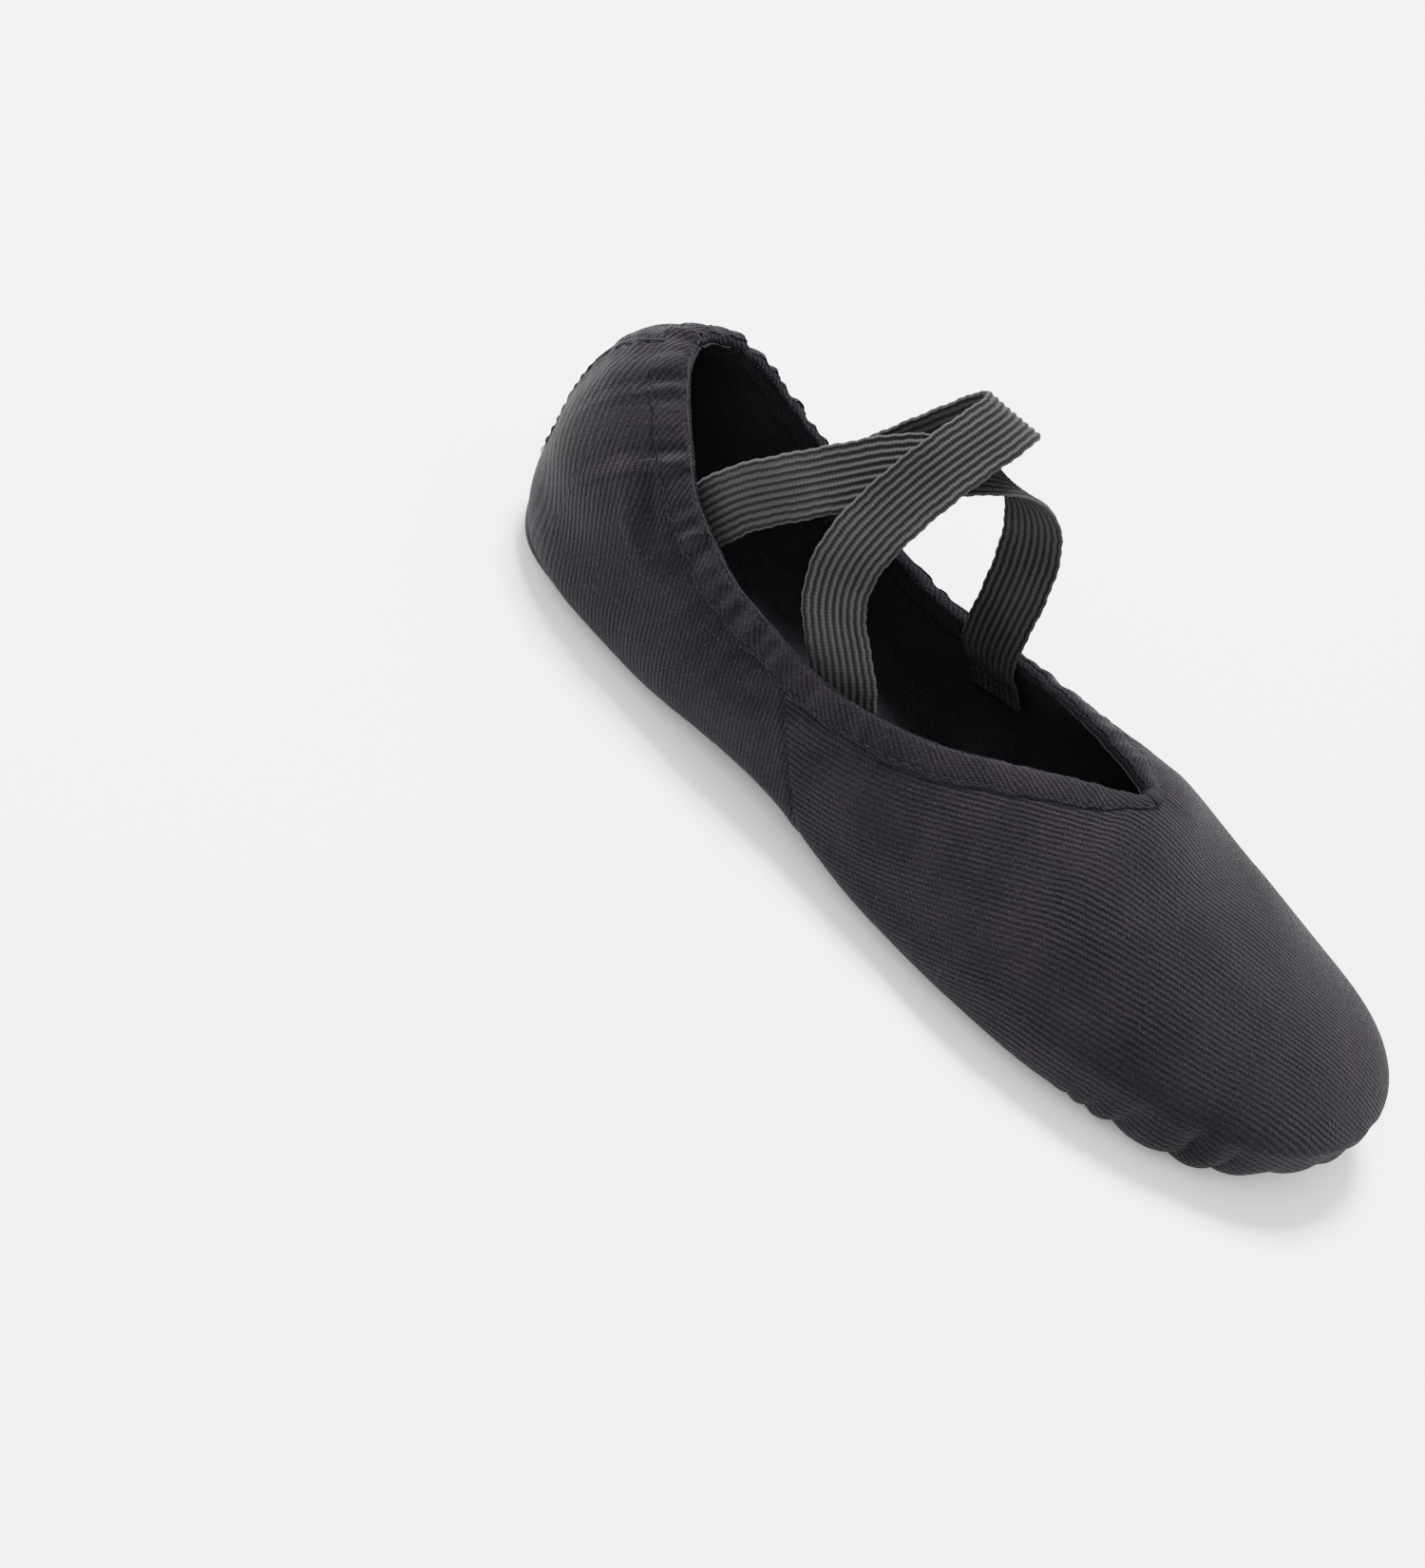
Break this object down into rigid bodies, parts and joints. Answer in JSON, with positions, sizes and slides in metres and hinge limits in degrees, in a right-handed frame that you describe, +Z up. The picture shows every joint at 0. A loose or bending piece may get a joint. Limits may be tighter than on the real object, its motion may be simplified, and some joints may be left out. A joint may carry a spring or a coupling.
{
  "type": "ballet slipper",
  "caption": "Split-sole stretch-canvas ballet slipper with crossed instep elastics, suede sole patches and a flexing arch.",
  "frame": {"origin": "floor, under the middle of the bounding box", "axes": "+Z up, toe towards -Y, medial side of the right foot towards +X"},
  "size_m": [0.0876, 0.2364, 0.0961],
  "materials": {
    "canvas": "black cotton-elastane twill, matt",
    "lining": "black plain-weave cotton",
    "binding": "black twill folded over the rim",
    "drawstring": "black braided elastic",
    "suede": "charcoal split suede, napped",
    "thread": "black polyester thread",
    "insole": "dark split suede on thin foam",
    "strap_elastic": "dark grey ribbed woven elastic"
  },
  "bodies": {
    "heel": {"quarter_lateral": "canvas", "quarter_medial": "canvas", "quarter_lining": "lining", "topline_binding_rear": "binding", "topline_elastic_rear": "drawstring", "heel_sole_patch": "suede", "heel_patch_stitching": "thread", "heel_insole_pad": "insole", "arch_seam_strip_rear": "canvas", "back_seam_tape": "lining", "instep_strap_under": "strap_elastic", "instep_strap_over": "strap_elastic", "strap_end_stitching": "thread"},
    "forefoot": {"vamp": "canvas", "vamp_lining": "lining", "topline_binding_front": "binding", "topline_elastic_front": "drawstring", "front_sole_patch": "suede", "front_patch_stitching": "thread", "front_insole_pad": "insole", "arch_seam_strip_front": "canvas", "throat_tack": "thread"}
  },
  "joints": [
    {"name": "arch_flex", "type": "hinge", "parent": "heel", "child": "forefoot", "pos_m": [0, 0.003, 0.001], "axis": [1, 0, 0], "range_deg": [0, 40]}
  ]
}
